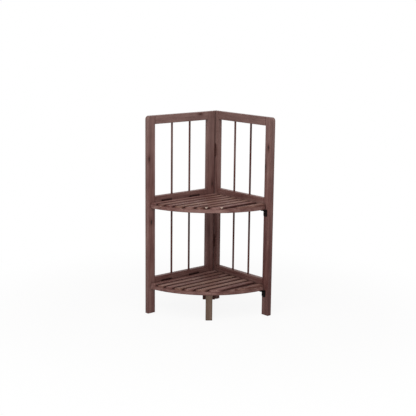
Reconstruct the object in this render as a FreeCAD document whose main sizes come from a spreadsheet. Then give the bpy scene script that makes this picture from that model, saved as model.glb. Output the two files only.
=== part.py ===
import FreeCAD, Part
import math
import os
from types import SimpleNamespace

import Sketcher
from FreeCAD import Placement, Rotation, Vector

# Corner rack: two alike barred side frames hinged in the inner corner, two quarter-round slatted shelves
# that fold up against the left frame, and a front leg that folds back under the lower shelf.
# Frame of the whole part: +Z up, +X right along the back frame, +Y back, origin on the floor in the middle.

# Driving dimensions, in millimetres
SIZES = {
    # Side frames
    "frame_height": 600.0,
    "frame_width": 260.0,
    "frame_thickness": 15.0,
    "stile_width": 26.0,
    "top_corner_radius": 10.0,
    "top_rail_height": 25.0,
    "shelf_rail_height": 30.0,
    "upper_rail_top": 359.0,
    "lower_rail_top": 111.0,
    "tenon_length": 12.0,
    "tenon_thickness": 6.0,
    "tenon_shoulder": 4.0,
    "joint_clearance": 0.1,
    "bar_radius": 3.0,
    "bar_insert": 8.0,
    "edge_round": 1.2,
    # Shelves, measured from the inner corner
    "shelf_reveal": 16.0,
    "slat_thickness": 6.0,
    "slat_gap": 7.4,
    "wide_gap": 20.0,
    "slat_round": 0.8,
    "rim_height": 11.0,
    "rim_width": 35.0,
    "hinge_batten_width": 15.0,
    "back_batten_width": 21.0,
    "shelf_end_gap": 4.0,
    "stile_overlap": 10.0,
    "tip_length": 12.0,
    "arc_centre_left": 28.0,
    "arc_centre_front": 3.0,
    # Butt hinges
    "hinge_length": 38.0,
    "leaf_width": 15.0,
    "leaf_thickness": 1.0,
    "leaf_corner_radius": 3.0,
    "barrel_radius": 2.2,
    "pin_radius": 1.1,
    "running_clearance": 0.05,
    "knuckle_gap": 0.3,
    "screw_line": 11.0,
    "upper_corner_hinge": 480.0,
    "lower_corner_hinge": 190.0,
    "front_hinge_inset": 43.0,
    "back_hinge_inset": 55.0,
    # Screws
    "screw_radius": 1.1,
    "screw_head_radius": 2.1,
    "screw_length": 9.0,
    "screw_tip": 2.0,
    "screw_slot_width": 0.5,
    "screw_slot_depth": 0.5,
    # Angle brackets
    "bracket_width": 14.0,
    "bracket_height": 21.0,
    "bracket_reach": 16.0,
    "bracket_thickness": 2.0,
    "bracket_corner_radius": 4.0,
    "bracket_inset": 1.0,
    "rest_gap": 0.3,
    # Front leg
    "leg_width": 20.0,
    "leg_thickness": 15.0,
    "leg_setback": 2.5,
}

# Counts
SLAT_COUNT = 8
BARS_PER_BAY = 2
KNUCKLES = 5
FIXED_KNUCKLES = (0, 2, 4)
MOVING_KNUCKLES = (1, 3)

# Sizes that follow from the driving ones
DERIVED = {
    "hinge_gap": "2 * Sizes.barrel_radius",
    "rail_length": "Sizes.frame_width - 2 * Sizes.stile_width",
    "tongue_length": "Derived.rail_length + 2 * Sizes.tenon_length",
    "mortise_depth": "Sizes.tenon_length + Sizes.joint_clearance",
    "mortise_width": "Sizes.tenon_thickness + 2 * Sizes.joint_clearance",
    "bar_hole_radius": "Sizes.bar_radius + Sizes.joint_clearance",
    "shelf_height": "Sizes.slat_thickness + Sizes.rim_height",
    "tip_reach": "Sizes.frame_width - Sizes.frame_thickness - Sizes.stile_width + Sizes.stile_overlap",
    "slat_width": f"(Derived.tip_reach - Derived.hinge_gap - {SLAT_COUNT - 2} * Sizes.slat_gap - Sizes.wide_gap)"
                  f" / {SLAT_COUNT}",
    "outer_radius": "sqrt((Derived.tip_reach + Sizes.arc_centre_left) ^ 2"
                    " + (Sizes.shelf_end_gap + Sizes.tip_length - Sizes.arc_centre_front) ^ 2)",
    "inner_radius": "Derived.outer_radius - Sizes.rim_width",
    "batten_radius": "Derived.inner_radius - Sizes.joint_clearance",
    "knuckle_pitch": f"Sizes.hinge_length / {KNUCKLES}",
    "knuckle_length": "Derived.knuckle_pitch - Sizes.knuckle_gap",
    "tab_length": "Sizes.barrel_radius + Sizes.knuckle_gap",
    "plate_width": "Sizes.leaf_width - Derived.tab_length",
    "running_bore": "Sizes.pin_radius + Sizes.running_clearance",
    "pilot_radius": "Sizes.screw_radius + Sizes.running_clearance",
    "shank_length": "Sizes.screw_length - Sizes.leaf_thickness - Sizes.screw_tip",
    "leg_height": "Sizes.lower_rail_top - Sizes.shelf_reveal - Derived.shelf_height - Sizes.rest_gap",
}

SCREW_SHARES = (0.35, 0.65)
BRACKET_SCREW_SHARES = (0.42, 0.76)
LEG_ANGLE = 40.0
QUARTER_TURN = 90.0
TOLERANCE = 1e-6

# Points of a sketch curve, and the sketch's own origin and level axis
START = 1
END = 2
CENTRE = 3
ORIGIN = (-1, START)
LEVEL_AXIS = -1
X_AXIS = Vector(1, 0, 0)
Y_AXIS = Vector(0, 1, 0)
Z_AXIS = Vector(0, 0, 1)

doc = FreeCAD.newDocument("corner_rack")


def fill_sheet(name, cells, prefix):
    """A spreadsheet with one aliased cell per named size."""
    sheet = doc.addObject("Spreadsheet::Sheet", name)
    for row, (alias, content) in enumerate(cells.items(), start=1):
        cell = f"A{row}"
        sheet.set(cell, f"{prefix}{content}")
        sheet.setAlias(cell, alias)
    doc.recompute()
    return {alias: float(sheet.get(alias)) for alias in cells}


dim = SimpleNamespace(**fill_sheet("Sizes", SIZES, ""), **fill_sheet("Derived", DERIVED, "="))

# The inner corner of the two frames, seen from the origin on the floor in the middle of the part
corner = Vector(dim.frame_thickness - dim.frame_width / 2,
                (dim.frame_width + dim.hinge_gap - dim.frame_thickness) / 2, 0)

# Each frame's own axes: X along its width from the corner, Y through its middle thickness, Z up
right_frame = Placement(corner + Vector(-dim.frame_thickness, dim.frame_thickness / 2, 0), Rotation())
left_frame = Placement(corner + Vector(-dim.frame_thickness / 2, -dim.hinge_gap, 0),
                       Rotation(Z_AXIS, -QUARTER_TURN))

nodes = []


def bind(thing, **formulas):
    """Ties properties of a feature to the sheets."""
    for name, formula in formulas.items():
        thing.setExpression(name, formula)
    return thing


def keep(node):
    """Marks a finished object as a sub-part to be written."""
    nodes.append(node)
    return node


def new_body(name, placement):
    """An empty body with its own name and place."""
    body = doc.addObject("PartDesign::Body", name)
    body.Label = name
    body.Placement = placement
    return body


def new_sketch(body, role, offset="0"):
    """A sketch on one of the body's origin planes, lifted along its normal by a formula."""
    sketch = body.newObject("Sketcher::SketchObject", f"{body.Name}_{role}")
    plane = next(item for item in body.Origin.OriginFeatures if item.Role == role)
    sketch.AttachmentSupport = (plane, [""])
    sketch.MapMode = "FlatFace"
    sketch.setExpression("AttachmentOffset.Base.z", offset)
    return sketch


def size(sketch, kind, *parts, formula):
    """A driven measure in a sketch: its last part is the starting value."""
    index = sketch.addConstraint(Sketcher.Constraint(kind, *parts))
    name = f"size_{index}"
    sketch.renameConstraint(index, name)
    sketch.setExpression(f"Constraints.{name}", formula)


def outline(sketch, curves, backward=(), smooth=()):
    """Adds a closed loop of curves and holds it together.

    The curves meet end to end in order. Those listed as backward are followed from their end to their start,
    and those listed as smooth run on into the next curve without a corner.
    """
    first = sketch.GeometryCount
    for curve in curves:
        sketch.addGeometry(curve)
    for place, curve in enumerate(curves):
        following = (place + 1) % len(curves)
        leaving = START if place in backward else END
        entering = END if following in backward else START
        joint = "Tangent" if place in smooth else "Coincident"
        sketch.addConstraint(Sketcher.Constraint(joint, first + place, leaving, first + following, entering))
        if isinstance(curve, Part.LineSegment):
            run = curve.EndPoint - curve.StartPoint
            direction = "Horizontal" if abs(run.x) > abs(run.y) else "Vertical"
            sketch.addConstraint(Sketcher.Constraint(direction, first + place))
    return first


def lines(*points):
    """Straight lines through the points in order."""
    return [Part.LineSegment(Vector(*a, 0), Vector(*b, 0)) for a, b in zip(points, points[1:])]


def centred_rectangle(sketch, wide, high, wide_formula, high_formula):
    """A rectangle about the sketch's origin."""
    x, y = wide / 2, high / 2
    first = outline(sketch, lines((-x, -y), (x, -y), (x, y), (-x, y), (-x, -y)))
    sketch.addConstraint(Sketcher.Constraint("Symmetric", first, START, first + 2, START, *ORIGIN))
    size(sketch, "DistanceX", first, START, first, END, wide, formula=wide_formula)
    size(sketch, "DistanceY", first + 1, START, first + 1, END, high, formula=high_formula)


def pad(body, sketch, formula, side="One side", reverse=False):
    """Adds the sketch's outline to the body as a board of the given thickness."""
    feature = body.newObject("PartDesign::Pad", f"{sketch.Name}_pad")
    feature.Profile = sketch
    feature.SideType = side
    feature.Reversed = reverse
    bind(feature, Length=formula)
    doc.recompute()
    body.Tip = feature
    return feature


def pocket(body, sketch, formula, reverse=False):
    """Removes the sketch's outline from the body, and makes sure that material went."""
    before = body.Shape.Volume
    feature = body.newObject("PartDesign::Pocket", f"{sketch.Name}_pocket")
    feature.Profile = sketch
    feature.Reversed = reverse
    bind(feature, Length=formula)
    body.Tip = feature
    doc.recompute()
    if body.Shape.Volume >= before:
        raise RuntimeError(f"{feature.Name} removes nothing")
    return feature


def ease(body, chosen, formula="Sizes.edge_round"):
    """Rounds those edges of the body's present shape that the test picks."""
    base = body.Tip
    names = [f"Edge{index}" for index, edge in enumerate(base.Shape.Edges, start=1) if chosen(edge)]
    feature = body.newObject("PartDesign::Fillet", f"{base.Name}_ease")
    feature.Base = (base, names)
    bind(feature, Radius=formula)
    body.Tip = feature
    doc.recompute()


def same(a, b):
    """Whether two lengths agree."""
    return math.isclose(a, b, abs_tol=TOLERANCE)


def on_plane(axis, *levels):
    """A test for edges that lie wholly in one of the planes across an axis."""
    def chosen(edge):
        box = edge.BoundBox
        low, high = getattr(box, f"{axis}Min"), getattr(box, f"{axis}Max")
        return any(same(low, level) and same(high, level) for level in levels)
    return chosen


def along(axis, chosen=None):
    """A test for straight edges that run along an axis."""
    def test(edge):
        straight = isinstance(edge.Curve, Part.Line) and same(abs(edge.Curve.Direction.dot(axis)), 1)
        return straight and (chosen is None or chosen(edge))
    return test


def copies(name, template, places):
    """One object holding a copy of the template at each place."""
    links = []
    for place in places:
        link = doc.addObject("App::Link", f"{name}_copy")
        link.LinkedObject = template
        link.LinkTransform = True
        link.Placement = place
        links.append(link)
    group = doc.addObject("Part::Compound", name)
    group.Label = name
    group.Links = links
    return group


def drilled(body, places):
    """The body with room cut in it for each screw."""
    name = body.Label
    body.Label = f"{name}_blank"
    result = doc.addObject("Part::Cut", f"{name}_drilled")
    result.Base = body
    result.Tool = copies(f"{name}_screw_rooms", screw_room, places)
    result.Label = name
    return result


# Screw and hinge patterns, copied to every place where they are used
def make_screw():
    """A countersunk screw: flat of the head at the origin, shank down -Z, crossed slots in the head."""
    head = bind(doc.addObject("Part::Cone", "screw_head"), Radius1="Sizes.screw_radius",
                Radius2="Sizes.screw_head_radius", Height="Sizes.leaf_thickness")
    head.Placement.Base = Vector(0, 0, -dim.leaf_thickness)
    shank = bind(doc.addObject("Part::Cylinder", "screw_shank"), Radius="Sizes.screw_radius",
                 Height="Derived.shank_length")
    shank.Placement.Base = Vector(0, 0, -dim.leaf_thickness - dim.shank_length)
    tip = bind(doc.addObject("Part::Cone", "screw_point"), Radius1="Sizes.screw_slot_width",
               Radius2="Sizes.screw_radius", Height="Sizes.screw_tip")
    tip.Placement.Base = Vector(0, 0, -dim.screw_length)
    solid = doc.addObject("Part::MultiFuse", "screw_solid")
    solid.Shapes = [head, shank, tip]
    slots = []
    for length, width in (("screw_head_radius", "screw_slot_width"), ("screw_slot_width", "screw_head_radius")):
        slot = bind(doc.addObject("Part::Box", "screw_slot"), Length=f"Sizes.{length}",
                    Width=f"Sizes.{width}", Height="Sizes.screw_slot_depth")
        slot.Placement.Base = Vector(-getattr(dim, length) / 2, -getattr(dim, width) / 2,
                                     -dim.screw_slot_depth)
        slots.append(slot)
    cross = doc.addObject("Part::MultiFuse", "screw_cross")
    cross.Shapes = slots
    screw = doc.addObject("Part::Cut", "screw")
    screw.Base = solid
    screw.Tool = cross
    return screw


def make_screw_room():
    """What a screw needs cut away: a countersink for its head and a hole for its shank."""
    head = bind(doc.addObject("Part::Cone", "countersink"), Radius1="Derived.pilot_radius",
                Radius2="Sizes.screw_head_radius + Sizes.running_clearance", Height="Sizes.leaf_thickness")
    head.Placement.Base = Vector(0, 0, -dim.leaf_thickness)
    shank = bind(doc.addObject("Part::Cylinder", "pilot_hole"), Radius="Derived.pilot_radius",
                 Height="Sizes.screw_length")
    shank.Placement.Base = Vector(0, 0, -dim.screw_length)
    room = doc.addObject("Part::MultiFuse", "screw_room")
    room.Shapes = [head, shank]
    return room


def knuckle_start(number):
    """Level on the barrel where a knuckle begins."""
    return number * dim.knuckle_pitch + dim.knuckle_gap / 2


def make_leaf(name, knuckles, bore_formula):
    """A hinge leaf: barrel along Z from the origin, plate toward -X, its back tangent to the barrel at -Y."""
    plate = bind(doc.addObject("Part::Box", f"{name}_plate"), Length="Derived.plate_width",
                 Width="Sizes.leaf_thickness", Height="Sizes.hinge_length")
    plate.Placement.Base = Vector(-dim.leaf_width, -dim.barrel_radius, 0)
    doc.recompute()
    rounded = doc.addObject("Part::Fillet", f"{name}_rounded")
    rounded.Base = plate
    outer = along(Y_AXIS, on_plane("X", -dim.leaf_width))
    rounded.Edges = [(index, dim.leaf_corner_radius, dim.leaf_corner_radius)
                     for index, edge in enumerate(plate.Shape.Edges, start=1) if outer(edge)]
    pieces = [rounded]
    for number in knuckles:
        level = knuckle_start(number)
        tab = bind(doc.addObject("Part::Box", f"{name}_tab"), Length="Derived.tab_length",
                   Width="Sizes.leaf_thickness", Height="Derived.knuckle_length")
        tab.Placement.Base = Vector(-dim.tab_length, -dim.barrel_radius, level)
        barrel = bind(doc.addObject("Part::Cylinder", f"{name}_barrel"), Radius="Sizes.barrel_radius",
                      Height="Derived.knuckle_length")
        barrel.Placement.Base = Vector(0, 0, level)
        pieces += [tab, barrel]
    solid = doc.addObject("Part::MultiFuse", f"{name}_solid")
    solid.Shapes = pieces
    bore = bind(doc.addObject("Part::Cylinder", f"{name}_bore"), Radius=bore_formula,
                Height="Sizes.hinge_length")
    leaf = doc.addObject("Part::Cut", name)
    leaf.Base = solid
    leaf.Tool = bore
    return drilled(leaf, leaf_screws(Placement()))


def leaf_screws(place):
    """Where a leaf's screws sit: heads flush in the leaf's front, shanks into the wood behind it."""
    front = dim.leaf_thickness - dim.barrel_radius
    turn = Rotation(X_AXIS, -QUARTER_TURN)
    return [place.multiply(Placement(Vector(-dim.screw_line, front, share * dim.hinge_length), turn))
            for share in SCREW_SHARES]


def closing_leaf(place, opening=0):
    """The facing leaf's place on the same barrel, opened by an angle from face to face."""
    flip = Placement(Vector(0, 0, dim.hinge_length), Rotation(X_AXIS, 2 * QUARTER_TURN))
    return place.multiply(Placement(Vector(), Rotation(Z_AXIS, opening))).multiply(flip)


def hinge_nodes(name, roles, fixed_places, moving_places):
    """Fixed leaves, moving leaves and pins of a set of hinges."""
    patterns = ((fixed_leaf, fixed_places), (moving_leaf, moving_places), (hinge_pin, fixed_places))
    for role, (pattern, places) in zip(roles, patterns):
        keep(copies(f"{name}_{role}", pattern, places))


def all_screws(places):
    """Screw places of several leaves."""
    return [screw for place in places for screw in leaf_screws(place)]


screw_pattern = make_screw()
screw_room = make_screw_room()
fixed_leaf = make_leaf("fixed_leaf", FIXED_KNUCKLES, "Sizes.pin_radius")
moving_leaf = make_leaf("moving_leaf", MOVING_KNUCKLES, "Derived.running_bore")
hinge_pin = bind(doc.addObject("Part::Cylinder", "hinge_pin"), Radius="Sizes.pin_radius",
                 Height="Sizes.hinge_length")

# Barrel places. A corner barrel stands in the inner corner, its leaves between the two frames
corner_barrels = [Placement(corner + Vector(dim.barrel_radius, -dim.barrel_radius,
                                            level - dim.hinge_length / 2), Rotation())
                  for level in (dim.upper_corner_hinge, dim.lower_corner_hinge)]


def shelf_top(rail_top):
    """Level of the slats' tops beside a rail."""
    return rail_top - dim.shelf_reveal


def shelf_barrels(rail_top):
    """Shelf barrels lie along the left rail on top of the shelf's edge, leaves hanging down between the two."""
    back = -dim.hinge_gap - dim.stile_width - dim.back_hinge_inset
    front = -dim.hinge_gap - dim.frame_width + dim.stile_width + dim.front_hinge_inset
    level = shelf_top(rail_top) + dim.barrel_radius
    turn = Rotation(Z_AXIS, X_AXIS, Y_AXIS, "ZYX")
    return [Placement(corner + Vector(dim.barrel_radius, middle - dim.hinge_length / 2, level), turn)
            for middle in (back, front)]


# The leg's own axes: X outward along the shelf's radius, Y along the rim, Z up
arc_centre = corner + Vector(-dim.arc_centre_left, -dim.arc_centre_front, 0)
outward = Rotation(Z_AXIS, -LEG_ANGLE)
leg_radius = dim.outer_radius - dim.leg_setback - dim.leg_thickness / 2
leg_place = Placement(arc_centre + outward.multVec(Vector(leg_radius, 0, 0)), outward)
underside = shelf_top(dim.lower_rail_top) - dim.shelf_height
leg_barrel = leg_place.multiply(Placement(
    Vector(-dim.leg_thickness / 2 - dim.barrel_radius, -dim.hinge_length / 2, underside - dim.barrel_radius),
    Rotation(X_AXIS, -QUARTER_TURN)))

upper_barrels = shelf_barrels(dim.upper_rail_top)
lower_barrels = shelf_barrels(dim.lower_rail_top)


# Side frames
def make_stile(name, frame, across, mortise_side, round_top):
    """An upright with three mortises in its inner edge. Own axes: X across, Y through, Z up from the floor."""
    body = new_body(name, frame.multiply(Placement(Vector(across, 0, 0), Rotation())))
    profile = new_sketch(body, "XZ_Plane")
    half, top, radius = dim.stile_width / 2, dim.frame_height, dim.top_corner_radius
    if round_top:
        curves = lines((-half, top), (-half, 0), (half, 0), (half, top - radius))
        curves.append(Part.ArcOfCircle(Part.Circle(Vector(half - radius, top - radius, 0), Z_AXIS, radius),
                                       0, math.pi / 2))
        curves += lines((half - radius, top), (-half, top))
    else:
        curves = lines((-half, top), (-half, 0), (half, 0), (half, top), (-half, top))
    outline(profile, curves, smooth=(2, 3) if round_top else ())
    profile.addConstraint(Sketcher.Constraint("Symmetric", 1, START, 1, END, *ORIGIN))
    size(profile, "DistanceX", 1, START, 1, END, 2 * half, formula="Sizes.stile_width")
    size(profile, "DistanceY", 0, END, 0, START, top, formula="Sizes.frame_height")
    if round_top:
        size(profile, "Radius", 3, radius, formula="Sizes.top_corner_radius")
    pad(body, profile, "Sizes.frame_thickness", side="Symmetric")
    thick = dim.frame_thickness / 2
    ease(body, on_plane("Y", -thick, thick))
    side = "" if mortise_side > 0 else "-"
    holes = new_sketch(body, "YZ_Plane", f"{side}Sizes.stile_width / 2")
    for top_formula, top_level, height_formula, height in rails():
        mortise(holes, top_formula, top_level, height_formula, height)
    pocket(body, holes, "Derived.mortise_depth", reverse=mortise_side < 0)
    return body


def rails():
    """Top level and height of each rail, as formulas and values."""
    return [("Sizes.frame_height", dim.frame_height, "Sizes.top_rail_height", dim.top_rail_height),
            ("Sizes.upper_rail_top", dim.upper_rail_top, "Sizes.shelf_rail_height", dim.shelf_rail_height),
            ("Sizes.lower_rail_top", dim.lower_rail_top, "Sizes.shelf_rail_height", dim.shelf_rail_height)]


def mortise(sketch, top_formula, top_level, height_formula, height):
    """One mortise's rectangle, about the upright's middle plane."""
    half = dim.mortise_width / 2
    reach = dim.tenon_shoulder - dim.joint_clearance
    high, low = top_level - reach, top_level - height + reach
    first = outline(sketch, lines((-half, low), (half, low), (half, high), (-half, high), (-half, low)))
    size(sketch, "DistanceX", first, START, *ORIGIN, half, formula="Derived.mortise_width / 2")
    size(sketch, "DistanceX", first, START, first, END, 2 * half, formula="Derived.mortise_width")
    size(sketch, "DistanceY", *ORIGIN, first + 1, END, high,
         formula=f"{top_formula} - Sizes.tenon_shoulder + Sizes.joint_clearance")
    size(sketch, "DistanceY", first + 1, START, first + 1, END, high - low,
         formula=f"{height_formula} - 2 * Sizes.tenon_shoulder + 2 * Sizes.joint_clearance")


def make_rail(name, frame, top_level, height_formula, height, holes_above, holes_below):
    """A cross rail with a tenon at each end. Own axes at its middle: X along, Y through, Z up."""
    middle = Vector(dim.frame_width / 2, 0, top_level - height / 2)
    body = new_body(name, frame.multiply(Placement(middle, Rotation())))
    face = new_sketch(body, "XZ_Plane")
    centred_rectangle(face, dim.rail_length, height, "Derived.rail_length", height_formula)
    pad(body, face, "Sizes.frame_thickness", side="Symmetric")
    thick = dim.frame_thickness / 2
    ease(body, along(X_AXIS, on_plane("Y", -thick, thick)))
    tongue = new_sketch(body, "YZ_Plane")
    centred_rectangle(tongue, dim.tenon_thickness, height - 2 * dim.tenon_shoulder,
                      "Sizes.tenon_thickness", f"{height_formula} - 2 * Sizes.tenon_shoulder")
    pad(body, tongue, "Derived.tongue_length", side="Symmetric")
    if holes_above:
        bar_holes(body, f"{height_formula} / 2", reverse=False)
    if holes_below:
        bar_holes(body, f"-{height_formula} / 2", reverse=True)
    return body


def bar_offset(number):
    """Distance of a bar from the middle of its rail, as a share of the rail's length."""
    return (number + 1) / (BARS_PER_BAY + 1) - 1 / 2


def bar_holes(body, level, reverse):
    """Blind holes for the bars' ends in a rail's upper or lower edge."""
    sketch = new_sketch(body, "XY_Plane", level)
    for number in range(BARS_PER_BAY):
        offset_share = bar_offset(number)
        index = sketch.addGeometry(Part.Circle(Vector(offset_share * dim.rail_length, 0, 0), Z_AXIS,
                                               dim.bar_hole_radius))
        sketch.addConstraint(Sketcher.Constraint("PointOnObject", index, CENTRE, LEVEL_AXIS))
        size(sketch, "Radius", index, dim.bar_hole_radius, formula="Derived.bar_hole_radius")
        ends = (*ORIGIN, index, CENTRE) if offset_share > 0 else (index, CENTRE, *ORIGIN)
        size(sketch, "DistanceX", *ends, abs(offset_share) * dim.rail_length,
             formula=f"{abs(offset_share)} * Derived.rail_length")
    pocket(body, sketch, "Sizes.bar_insert", reverse=reverse)


def make_bar(name, frame, number, bottom_formula, top_formula, bottom):
    """A round bar between two rails, its ends in their blind holes."""
    bar = bind(doc.addObject("Part::Cylinder", name), Radius="Sizes.bar_radius",
               Height=f"{top_formula} - ({bottom_formula}) + 2 * Sizes.bar_insert")
    bar.Label = name
    across = dim.frame_width / 2 + bar_offset(number) * dim.rail_length
    bar.Placement = frame.multiply(Placement(Vector(across, 0, bottom - dim.bar_insert), Rotation()))
    return keep(bar)


def make_frame(side, frame, screws):
    """Two stiles, three rails and the bars of one side frame; screws are drilled where they are named."""
    half = dim.stile_width / 2
    boards = [
        make_stile(f"{side}_corner_stile", frame, half, 1, round_top=False),
        make_stile(f"{side}_front_stile", frame, dim.frame_width - half, -1, round_top=True),
        make_rail(f"{side}_top_rail", frame, dim.frame_height, "Sizes.top_rail_height",
                  dim.top_rail_height, holes_above=False, holes_below=True),
        make_rail(f"{side}_middle_rail", frame, dim.upper_rail_top, "Sizes.shelf_rail_height",
                  dim.shelf_rail_height, holes_above=True, holes_below=True),
        make_rail(f"{side}_lower_rail", frame, dim.lower_rail_top, "Sizes.shelf_rail_height",
                  dim.shelf_rail_height, holes_above=True, holes_below=False),
    ]
    for board in boards:
        places = screws.get(board.Label)
        keep(drilled(board, places) if places else board)
    for number in range(BARS_PER_BAY):
        make_bar(f"{side}_upper_bar_{number + 1}", frame, number, "Sizes.upper_rail_top",
                 "Sizes.frame_height - Sizes.top_rail_height", dim.upper_rail_top)
        make_bar(f"{side}_lower_bar_{number + 1}", frame, number, "Sizes.lower_rail_top",
                 "Sizes.upper_rail_top - Sizes.shelf_rail_height", dim.lower_rail_top)


# Shelves. Own axes: origin in the inner corner at the level of the slats' tops
def arc_point_below(x, radius):
    """Point of the front arc straight in front of a place along the back frame."""
    return (x, -dim.arc_centre_front - math.sqrt(radius ** 2 - (x + dim.arc_centre_left) ** 2))


def arc_point_beside(y, radius):
    """Point of the front arc level with a place along the left frame."""
    return (math.sqrt(radius ** 2 - (y + dim.arc_centre_front) ** 2) - dim.arc_centre_left, y)


def arc(start, end, radius):
    """Arc about the shelf's centre, anticlockwise from start to end."""
    centre = Vector(-dim.arc_centre_left, -dim.arc_centre_front, 0)
    angles = [math.atan2(point[1] - centre.y, point[0] - centre.x) for point in (start, end)]
    return Part.ArcOfCircle(Part.Circle(centre, Z_AXIS, radius), *angles)


def fix_arc(sketch, index, radius, formula):
    """Holds an arc's centre and radius to the sheets."""
    size(sketch, "Radius", index, radius, formula=formula)
    size(sketch, "DistanceX", index, CENTRE, *ORIGIN, dim.arc_centre_left, formula="Sizes.arc_centre_left")
    size(sketch, "DistanceY", index, CENTRE, *ORIGIN, dim.arc_centre_front, formula="Sizes.arc_centre_front")


def make_strip(name, shelf, left, wide, left_formula, wide_formula, radius, radius_formula, depth):
    """A board parallel to the left frame whose front end follows the arc; depth is its level and thickness."""
    body = new_body(name, shelf)
    sketch = new_sketch(body, "XY_Plane", f"-({depth[0]})")
    back = -dim.shelf_end_gap
    right = left + wide
    front_left, front_right = arc_point_below(left, radius), arc_point_below(right, radius)
    outline(sketch, lines((left, back), front_left) + [arc(front_left, front_right, radius)]
            + lines(front_right, (right, back), (left, back)))
    size(sketch, "DistanceX", *ORIGIN, 0, START, left, formula=left_formula)
    size(sketch, "DistanceX", 3, END, 3, START, wide, formula=wide_formula)
    size(sketch, "DistanceY", 0, START, *ORIGIN, dim.shelf_end_gap, formula="Sizes.shelf_end_gap")
    fix_arc(sketch, 1, radius, radius_formula)
    pad(body, sketch, depth[1], reverse=True)
    return body


def make_rim(name, shelf):
    """The curved board under the slats' front ends."""
    body = new_body(name, shelf)
    sketch = new_sketch(body, "XY_Plane", "-Sizes.slat_thickness")
    left, back, outer, inner = dim.hinge_gap, -dim.shelf_end_gap, dim.outer_radius, dim.inner_radius
    corners = [arc_point_below(left, inner), arc_point_below(left, outer),
               arc_point_beside(back, outer), arc_point_beside(back, inner)]
    curves = lines(*corners[:2]) + [arc(corners[1], corners[2], outer)] + lines(*corners[2:])
    curves.append(arc(corners[0], corners[3], inner))
    outline(sketch, curves, backward=(3,))
    sketch.addConstraint(Sketcher.Constraint("Coincident", 1, CENTRE, 3, CENTRE))
    size(sketch, "DistanceX", *ORIGIN, 0, END, left, formula="Derived.hinge_gap")
    size(sketch, "DistanceY", 2, START, *ORIGIN, -back, formula="Sizes.shelf_end_gap")
    fix_arc(sketch, 1, outer, "Derived.outer_radius")
    size(sketch, "Radius", 3, inner, formula="Derived.inner_radius")
    pad(body, sketch, "Sizes.rim_height", reverse=True)
    ease(body, on_plane("Z", -dim.shelf_height))
    return body


def make_back_batten(name, shelf):
    """The straight board along the right rail, from the hinge batten to the rim."""
    body = new_body(name, shelf)
    sketch = new_sketch(body, "XY_Plane", "-Sizes.slat_thickness")
    left = dim.hinge_gap + dim.hinge_batten_width
    back, front = -dim.shelf_end_gap, -dim.shelf_end_gap - dim.back_batten_width
    radius = dim.batten_radius
    high, low = arc_point_beside(back, radius), arc_point_beside(front, radius)
    curves = lines(high, (left, back), (left, front), low) + [arc(low, high, radius)]
    outline(sketch, curves)
    size(sketch, "DistanceX", *ORIGIN, 0, END, left, formula="Derived.hinge_gap + Sizes.hinge_batten_width")
    size(sketch, "DistanceY", 0, END, *ORIGIN, -back, formula="Sizes.shelf_end_gap")
    size(sketch, "DistanceY", 1, END, 1, START, dim.back_batten_width, formula="Sizes.back_batten_width")
    fix_arc(sketch, 3, radius, "Derived.batten_radius")
    pad(body, sketch, "Sizes.rim_height", reverse=True)
    return body


def slat_left(number):
    """Left edge of a slat, as a formula and a value. The last slat stands apart, out at the tip."""
    if number == SLAT_COUNT - 1:
        return "Derived.tip_reach - Derived.slat_width", dim.tip_reach - dim.slat_width
    formula = f"Derived.hinge_gap + {number} * (Derived.slat_width + Sizes.slat_gap)"
    return formula, dim.hinge_gap + number * (dim.slat_width + dim.slat_gap)


def make_shelf(level, rail_top, batten_screws, rim_screws):
    """Eight slats on a curved rim and two battens."""
    shelf = Placement(corner + Vector(0, 0, shelf_top(rail_top)), Rotation())
    for number in range(SLAT_COUNT):
        formula, left = slat_left(number)
        slat = make_strip(f"{level}_slat_{number + 1}", shelf, left, dim.slat_width, formula,
                          "Derived.slat_width", dim.outer_radius, "Derived.outer_radius",
                          ("0", "Sizes.slat_thickness"))
        ease(slat, on_plane("Z", 0), "Sizes.slat_round")
        keep(slat)
    rim = make_rim(f"{level}_rim", shelf)
    keep(drilled(rim, rim_screws) if rim_screws else rim)
    hinge_batten = make_strip(f"{level}_hinge_batten", shelf, dim.hinge_gap, dim.hinge_batten_width,
                              "Derived.hinge_gap", "Sizes.hinge_batten_width", dim.batten_radius,
                              "Derived.batten_radius", ("Sizes.slat_thickness", "Sizes.rim_height"))
    keep(drilled(hinge_batten, batten_screws))
    keep(make_back_batten(f"{level}_back_batten", shelf))


# Front leg
def make_leg(screws):
    """A plain square-edged bar from the floor to the rim's underside."""
    body = new_body("front_leg", leg_place)
    section = new_sketch(body, "XY_Plane")
    centred_rectangle(section, dim.leg_thickness, dim.leg_width, "Sizes.leg_thickness", "Sizes.leg_width")
    pad(body, section, "Derived.leg_height")
    ease(body, lambda edge: along(Z_AXIS)(edge) or on_plane("Z", 0)(edge))
    keep(drilled(body, screws))


# Angle brackets. Own axes: origin on the stile's face under the shelf, X across, Y back, Z up
def bracket_place(rail_top):
    """Place of the bracket that carries the shelf beside a rail."""
    across = dim.frame_width - dim.frame_thickness - dim.stile_width + dim.bracket_inset + dim.bracket_width / 2
    level = shelf_top(rail_top) - dim.shelf_height - dim.rest_gap
    return Placement(corner + Vector(across, 0, level), Rotation())


def bracket_screws(place):
    """Screws through the bracket's upright leg, heads flush in its front."""
    return [place.multiply(Placement(Vector(0, -dim.bracket_thickness, -share * dim.bracket_height),
                                     Rotation(X_AXIS, QUARTER_TURN)))
            for share in BRACKET_SCREW_SHARES]


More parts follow.
